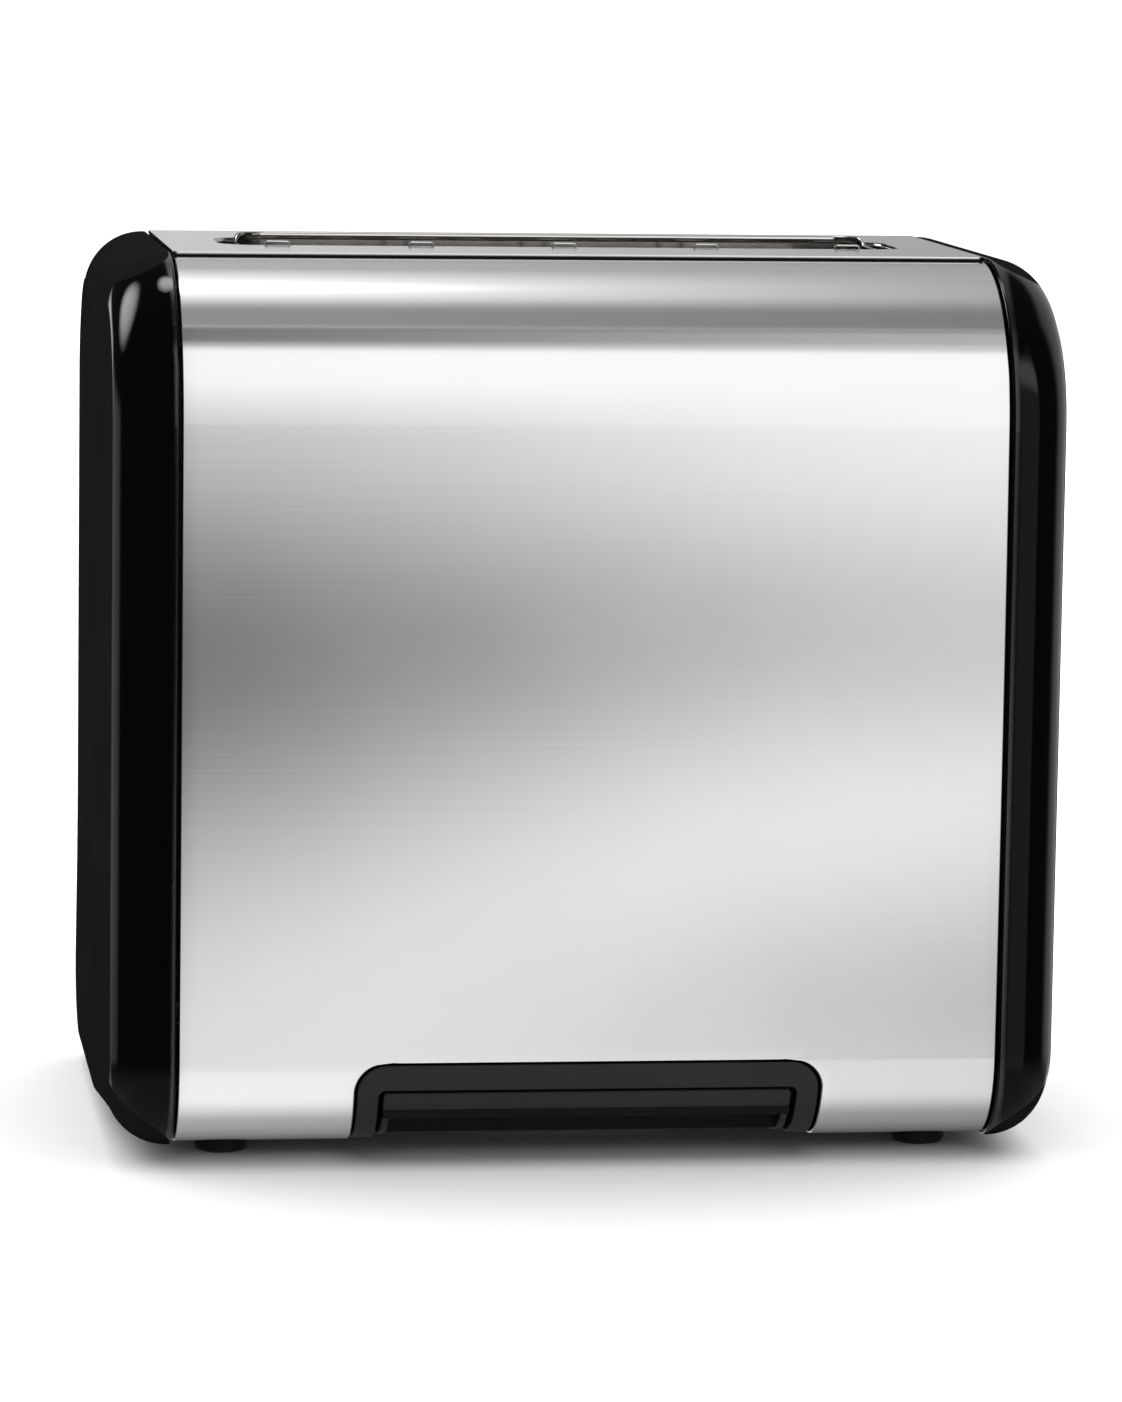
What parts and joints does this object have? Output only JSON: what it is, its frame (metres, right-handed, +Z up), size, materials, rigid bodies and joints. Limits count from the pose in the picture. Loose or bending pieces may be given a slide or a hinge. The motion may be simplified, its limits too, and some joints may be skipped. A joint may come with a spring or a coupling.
{
  "type": "toaster",
  "caption": "Toaster with one wide bread slot, satin steel wrap, gloss black end caps, sprung lever, browning dial, push buttons and a slide-out crumb tray.",
  "frame": {"origin": "middle of the whole on the surface that the feet stand on", "axes": "+Z up, the crumb tray slides out towards -Y, the lever and dial are at the +X end"},
  "size_m": [0.214, 0.1516, 0.1948],
  "materials": {
    "satin_steel": "satin",
    "liner_steel": "polished",
    "gloss_black": "gloss",
    "knob_black": "gloss",
    "button_black": "satin",
    "black_plastic": "matt",
    "bezel_grey": "satin",
    "tray_grey": "satin",
    "rubber": "matt",
    "zinc_steel": "zinc plated",
    "reflector_steel": "bright",
    "mica": "matt",
    "ribbon_metal": "oxidised",
    "guide_wire": "bright drawn",
    "rod_steel": "ground",
    "nylon_white": "matt",
    "copper_winding": "enamelled",
    "contact_brass": "bright",
    "board_green": "satin",
    "screw_steel": "zinc plated"
  },
  "bodies": {
    "housing": {"front_panel": "satin_steel", "rear_panel": "satin_steel", "top_plate": "satin_steel", "slot_liner": "liner_steel", "left_end_cap": "gloss_black", "right_end_cap": "gloss_black", "base_pan": "black_plastic", "cord_gland": "black_plastic", "terminal_block": "black_plastic", "contact_block": "black_plastic", "browning_control": "black_plastic", "button_switches": "black_plastic", "tray_bezel": "bezel_grey", "feet": "rubber", "stop_bumper": "rubber", "left_chassis_plate": "zinc_steel", "right_chassis_plate": "zinc_steel", "rod_brackets": "zinc_steel", "tray_runners": "zinc_steel", "magnet_core": "zinc_steel", "front_reflector": "reflector_steel", "rear_reflector": "reflector_steel", "front_element_card": "mica", "rear_element_card": "mica", "front_heating_ribbon": "ribbon_metal", "rear_heating_ribbon": "ribbon_metal", "guide_rod": "rod_steel", "lift_spring": "rod_steel", "magnet_coils": "copper_winding", "contact_blades": "contact_brass", "control_board": "board_green", "base_screws": "screw_steel", "cap_screws": "screw_steel", "board_screws": "screw_steel"},
    "carriage": {"bread_rack": "guide_wire", "carriage_slider": "black_plastic", "slider_bush": "nylon_white", "lever_arm": "zinc_steel", "lever_knob": "knob_black", "armature": "zinc_steel"},
    "front_guide": {"front_bread_guide": "guide_wire"},
    "rear_guide": {"rear_bread_guide": "guide_wire"},
    "dial": {"browning_dial": "knob_black", "dial_shaft": "rod_steel"},
    "cancel": {"cancel_button": "button_black"},
    "reheat": {"reheat_button": "button_black"},
    "defrost": {"defrost_button": "button_black"},
    "tray": {"crumb_tray": "zinc_steel", "tray_front": "tray_grey"}
  },
  "joints": [
    {"name": "lever_press", "type": "slide", "parent": "housing", "child": "carriage", "axis": [0, 0, -1], "range_m": [0, 0.076], "stiffness_N_per_m": 60, "springref_m": -0.05, "deforming": ["lift_spring"]},
    {"name": "front_guide_close", "type": "slide", "parent": "housing", "child": "front_guide", "axis": [0, 1, 0], "range_m": [0, 0.006]},
    {"name": "rear_guide_close", "type": "slide", "parent": "housing", "child": "rear_guide", "axis": [0, -1, 0], "range_m": [0, 0.006]},
    {"name": "dial_turn", "type": "hinge", "parent": "housing", "child": "dial", "pos_m": [0.097, 0, 0.036], "axis": [1, 0, 0], "range_deg": [-135, 135]},
    {"name": "cancel_press", "type": "slide", "parent": "housing", "child": "cancel", "axis": [-1, 0, 0], "range_m": [0, 0.0015], "stiffness_N_per_m": 500, "springref_m": -0.001},
    {"name": "reheat_press", "type": "slide", "parent": "housing", "child": "reheat", "axis": [-1, 0, 0], "range_m": [0, 0.0015], "stiffness_N_per_m": 500, "springref_m": -0.001},
    {"name": "defrost_press", "type": "slide", "parent": "housing", "child": "defrost", "axis": [-1, 0, 0], "range_m": [0, 0.0015], "stiffness_N_per_m": 500, "springref_m": -0.001},
    {"name": "tray_slide", "type": "slide", "parent": "housing", "child": "tray", "axis": [0, -1, 0], "range_m": [0, 0.11]}
  ],
  "couplings": [
    {"joint": "front_guide_close", "follows": "lever_press", "ratio": 0.0789},
    {"joint": "rear_guide_close", "follows": "lever_press", "ratio": 0.0789}
  ]
}
